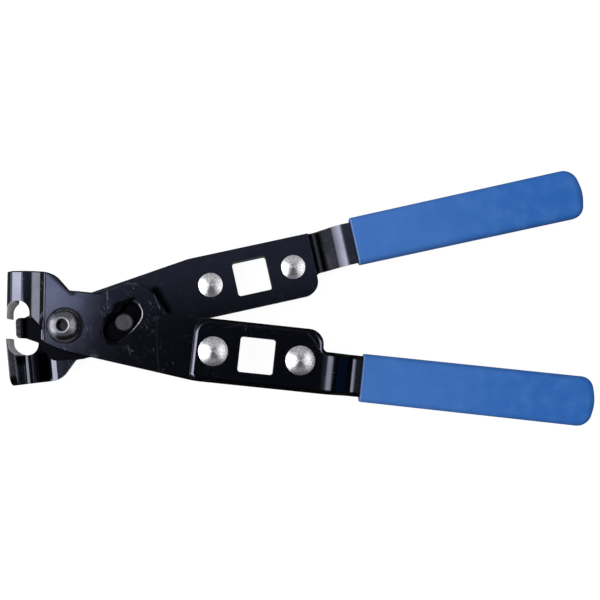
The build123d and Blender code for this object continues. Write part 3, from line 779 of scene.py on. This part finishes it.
def outer_section(right, left, half, inset=0):
    """Ring round the grip between two opposite places on its outline."""
    return close_section(rim_side(right, half, inset), rim_side(left, half, inset), GRIP_CROWN_RISE)


def pocket_section(right, left):
    """Ring round the pocket between two opposite places on the grip's outline."""
    return close_section(pocket_side(right), pocket_side(left), 0)


def grip_sections(node, handle):
    """Rings from the grip's far tip to its mouth and back along the pocket inside."""
    path, level, half = grip_path(node, handle)
    last = len(path) - 1
    pairs = [(path[index], path[last - index]) for index in range(last // 2 + 1)]
    pairs[-1] = (pairs[-1][0], pairs[-1][0])
    sections = [outer_section(right, left, half) for right, left in pairs[:0:-1]]
    for step in range(LIP_STEPS + 1):
        angle = math.pi / 2 * step / LIP_STEPS
        ring = outer_section(*pairs[0], half, GRIP_LIP * (1 - math.cos(angle)))
        shift = Vector((GRIP_LIP * (1 - math.sin(angle)), 0, 0))
        sections.append([point + shift for point in ring])
    sections += [pocket_section(right, left) for right, left in pairs]
    return [[point + Vector((0, 0, level)) for point in ring] for ring in sections]


def skin(name, sections):
    """Mesh object through a row of rings with equal numbers of points."""
    shape = bmesh.new()
    rows = [[shape.verts.new(point) for point in ring] for ring in sections]
    for row, following in zip(rows, rows[1:]):
        for index in range(len(row)):
            after = (index + 1) % len(row)
            shape.faces.new((row[index], row[after], following[after], following[index]))
    bmesh.ops.remove_doubles(shape, verts=shape.verts, dist=WELD_REACH)
    bmesh.ops.dissolve_degenerate(shape, edges=shape.edges, dist=WELD_REACH)
    bmesh.ops.recalc_face_normals(shape, faces=shape.faces)
    mesh = bpy.data.meshes.new(name)
    shape.to_mesh(mesh)
    shape.free()
    mesh.shade_smooth()
    piece = bpy.data.objects.new(name, mesh)
    bpy.context.collection.objects.link(piece)
    return piece


def make_grip(name, node, body, handle, look):
    """Vinyl grip in place of its plain solid."""
    sections = [[handle @ point for point in ring] for ring in grip_sections(node, handle)]
    piece = skin(name, sections)
    piece.data.materials.append(look.material)
    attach(piece, body)
    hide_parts(node)


# Studio

FLOOR_HALF = 4 * METRE
FLOOR_TINT = grey(0.38)         # floor as it lights the object
SEEN_TINT = grey(0.12)          # part of the floor's seen tone that shadows darken
SEEN_GLOW = 0.955               # light that the floor shows to the eye and to reflections
WORLD_LIGHT = 0.50
BLACK_GLOW = grey(0.02)
SIDE_GLOW = (0.46, 0.47, 0.50, 1.0)
GAP_GLOW = (0.98, 1.05, 1.36, 1.0)
TOP_GLOW = (0.10, 0.11, 0.15, 1.0)
FLAG_GLOW = grey(0.10)
FLAG_REACH = 160 * MM
FLAG_LIFT = 0.5 * MM

# Lamps: tilt from upright towards +X in degrees, width, height and radiance
CENTRE = Vector((60 * MM, 0, MIDDLE))
LAMP_DISTANCE = 2.0 * METRE
LEFT_LAMP = (-49, 2.0 * METRE, 2.4 * METRE, 2.5)
RIGHT_LAMP = (42, 1.6 * METRE, 1.1 * METRE, 0.8)

# Cards above the tool: level, edges along X and Y, and how each one's glow fades: from y, to y, share left
TOP_LEVEL = 1.0 * METRE
GAP_LEFT = -0.29 * METRE
GAP_RIGHT = -0.174 * METRE
GAP_END = 0.7 * METRE
GAP_FADE = (0.0, 90 * MM, 0.12)
TOP_RIGHT = 0.45 * METRE
TOP_NEAR = -0.7 * METRE
TOP_FAR = [(TOP_RIGHT, 0.46 * METRE), (0.05 * METRE, 0.36 * METRE), (GAP_RIGHT, 0.24 * METRE)]
TOP_FADE = (30 * MM, 130 * MM, 0.17)

# Cards that stand round the tool: place, half width, and levels of their edges
WALL_PLACE = 1.2 * METRE
WALL_LEAN = 0.1 * METRE         # how far the glowing walls lean in at the top
WALL_FOOT = 1 * MM
WALL_TOP = 1.6 * METRE
NEAR_DARK_TOP = 0.9 * METRE
FAR_DARK_TOP = 0.35 * METRE
LEFT_TOP = 0.26 * METRE
RIGHT_TOP = 0.80 * METRE
RIGHT_FAR = 1.3 * METRE         # where the slanting right card ends


def plain_mesh(name, corners):
    """Flat mesh object with one face."""
    mesh = bpy.data.meshes.new(name)
    mesh.from_pydata(corners, [], [tuple(range(len(corners)))])
    piece = bpy.data.objects.new(name, mesh)
    bpy.context.collection.objects.link(piece)
    return piece


def seen_directly(look):
    """1 for rays from the camera, a reflection or glass, 0 for rays that light a surface."""
    path = look.add("ShaderNodeLightPath").outputs
    seen = look.maths("MAXIMUM", path["Is Camera Ray"], path["Is Glossy Ray"])
    return look.maths("MAXIMUM", seen, path["Is Transmission Ray"])


def clothe(piece, look, surface):
    """Gives a piece a material that shows one shader alone."""
    look.put(look.tree.nodes["Material Output"].inputs["Surface"], surface)
    look.tree.nodes.remove(look.shader)
    piece.data.materials.append(look.material)


def make_floor():
    """White floor that keeps a faint shadow."""
    floor = plain_mesh("floor", [(-FLOOR_HALF, -FLOOR_HALF, 0), (FLOOR_HALF, -FLOOR_HALF, 0),
                                 (FLOOR_HALF, FLOOR_HALF, 0), (-FLOOR_HALF, FLOOR_HALF, 0)])
    look = Material("floor")
    lit = look.add("ShaderNodeBsdfDiffuse", {"Color": FLOOR_TINT}).outputs[0]
    pale = look.add("ShaderNodeBsdfDiffuse", {"Color": SEEN_TINT}).outputs[0]
    glow = look.add("ShaderNodeEmission", {"Color": grey(1.0), "Strength": SEEN_GLOW}).outputs[0]
    shown = look.add("ShaderNodeAddShader", {0: pale, 1: glow}).outputs[0]
    both = look.add("ShaderNodeMixShader", {0: seen_directly(look), 1: lit, 2: shown}).outputs[0]
    clothe(floor, look, both)


def glowing_sheet(name, corners, glow, fade=None):
    """Sheet with a glow of its own, hidden from the camera. Fade is (from y, to y, share left)."""
    sheet = plain_mesh(name, corners)
    look = Material(name)
    strength = 1.0
    if fade:
        strength = look.spread(look.parts(look.rest_position())["Y"], *fade, 1.0)
    clothe(sheet, look, look.add("ShaderNodeEmission", {"Color": glow, "Strength": strength}).outputs[0])
    sheet.visible_camera = False
    return sheet


def make_floor_flag():
    """Dark sheet just above the floor round the tool, seen only by reflections: a painted shade that shows
    reflections a dark floor round the tool, where the floor itself stays white.
    """
    left, near = (corner - FLAG_REACH for corner in cad_box[0][:2])
    right, far = (corner + FLAG_REACH for corner in cad_box[1][:2])
    corners = [(x, y, FLAG_LIFT) for x, y in ((left, near), (right, near), (right, far), (left, far))]
    flag = glowing_sheet("floor_flag", corners, FLAG_GLOW)
    flag.visible_diffuse = False
    flag.visible_shadow = False
    flag.visible_transmission = False


def make_wall(name, low_line, low_level, high_line, high_level, glow):
    """Card that stands on one line, given by two places, and reaches up to another."""
    low = [(x, y, low_level) for x, y in low_line]
    high = [(x, y, high_level) for x, y in reversed(high_line)]
    glowing_sheet(name, low + high, glow)


def make_walls():
    """Cards all round the tool, dark near the floor and glowing higher up."""
    wide = WALL_PLACE
    leaning = WALL_PLACE - WALL_LEAN
    right_foot = [(TOP_RIGHT, -wide), (TOP_RIGHT, wide)]
    right_head = [(RIGHT_FAR, -wide), (RIGHT_FAR, wide)]
    left_line = [(-wide, -wide), (-wide, wide)]
    make_wall("right_card", right_foot, WALL_FOOT, right_head, RIGHT_TOP, BLACK_GLOW)
    make_wall("left_card", left_line, WALL_FOOT, left_line, LEFT_TOP, SIDE_GLOW)
    for side, name, dark_top in ((-1, "near", NEAR_DARK_TOP), (1, "far", FAR_DARK_TOP)):
        line = [(-wide, side * wide), (wide, side * wide)]
        lean_line = [(-wide, side * leaning), (wide, side * leaning)]
        make_wall(name + "_low_card", line, WALL_FOOT, line, dark_top, BLACK_GLOW)
        make_wall(name + "_card", line, dark_top, lean_line, WALL_TOP, SIDE_GLOW)


def make_top_cards():
    """Dark card overhead, and the bright strip beside it that lights the jaws' plates in a reflection."""
    top_line = [(GAP_RIGHT, TOP_NEAR), (TOP_RIGHT, TOP_NEAR)] + TOP_FAR
    gap_line = [(GAP_LEFT, -GAP_END), (GAP_RIGHT, -GAP_END), (GAP_RIGHT, GAP_END), (GAP_LEFT, GAP_END)]
    for name, line, glow, fade in (("top_card", top_line, TOP_GLOW, TOP_FADE),
                                   ("gap_card", gap_line, GAP_GLOW, GAP_FADE)):
        glowing_sheet(name, [(x, y, TOP_LEVEL) for x, y in line], glow, fade)


def make_lamp(name, tilt, width, height, radiance):
    """Soft rectangular lamp of a given brightness, turned to the tool."""
    data = bpy.data.lights.new(name, "AREA")
    data.shape = "RECTANGLE"
    data.size = width
    data.size_y = height
    data.energy = radiance * math.pi * width * height
    lamp = bpy.data.objects.new(name, data)
    bpy.context.collection.objects.link(lamp)
    angle = math.radians(tilt)
    away = Vector((math.sin(angle), 0, math.cos(angle)))
    turn = (-away).to_track_quat("-Z", "Y")
    lamp.matrix_world = Matrix.Translation(CENTRE + away * LAMP_DISTANCE) @ turn.to_matrix().to_4x4()
    lamp.visible_camera = False


def make_world():
    """Even white surroundings, which light the object less than they show."""
    world = bpy.data.worlds.new("studio")
    world.use_nodes = True
    look = Look(world.node_tree)
    background = world.node_tree.nodes["Background"]
    look.put(background.inputs["Color"], grey(1.0))
    strength = look.spread(seen_directly(look), 0.0, 1.0, WORLD_LIGHT, 1.0)
    look.put(background.inputs["Strength"], strength)
    bpy.context.scene.world = world


def make_studio():
    """Floor, surroundings, lamps and cards."""
    make_floor()
    make_floor_flag()
    make_world()
    make_lamp("left_lamp", *LEFT_LAMP)
    make_lamp("right_lamp", *RIGHT_LAMP)
    make_top_cards()
    make_walls()


def dress(names, look):
    """Gives CAD nodes a material."""
    for name in names:
        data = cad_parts[name].data
        data.materials.clear()
        data.materials.append(look.material)


make_camera()
make_studio()

SCREW_TINTS = (SCREW_TINT_DARK, SCREW_TINT)
PIN_TINTS = (PIN_TINT_DARK, PIN_TINT)
RIVET_TINTS = (BRIGHT_TINT_DARK, BRIGHT_TINT)

dress(["front_arm"], blackened_steel("front_arm_steel", FRONT_ARM, FRONT_SCRATCHES_AND_HIGHLIGHTS, FRONT_SHADES))
dress(["rear_arm"], blackened_steel("rear_arm_steel", REAR_ARM, shades=REAR_SHADES))
dress(["lower_handle_bar"], blackened_steel("lower_bar_steel", FRONT_HANDLE, PADDLE_SCRATCHES_AND_HIGHLIGHTS, bar=True))
dress(["upper_handle_bar"], blackened_steel("upper_bar_steel", REAR_HANDLE, bar=True))
dress(["ear_presser"], presser_steel("presser_steel"))
dress(["pivot_sleeve", "pivot_washer"], bare_steel("bare_steel"))
dress(["pivot_nut"], turned_steel("nut_steel", "pivot_nut", SCREW_TINTS, NUT_FINISH))
dress(["pivot_screw"], turned_steel("screw_steel", "pivot_screw", SCREW_TINTS, SCREW_FINISH, socket=True))
dress(["guide_pin"], turned_steel("pin_steel", "guide_pin", PIN_TINTS, PIN_FINISH))
for rivet in ("lower_inner_rivet", "lower_outer_rivet", "upper_inner_rivet", "upper_outer_rivet"):
    dress([rivet], turned_steel(rivet + "_steel", rivet, RIVET_TINTS, RIVET_FINISH))

make_grip("lower_vinyl_grip", "lower_grip", "front_lever", FRONT_HANDLE,
          soft_vinyl("lower_vinyl", "lower_grip", FRONT_HANDLE))
make_grip("upper_vinyl_grip", "upper_grip", "rear_lever", REAR_HANDLE,
          soft_vinyl("upper_vinyl", "upper_grip", REAR_HANDLE))

bpy.context.scene.view_settings.view_transform = "Standard"
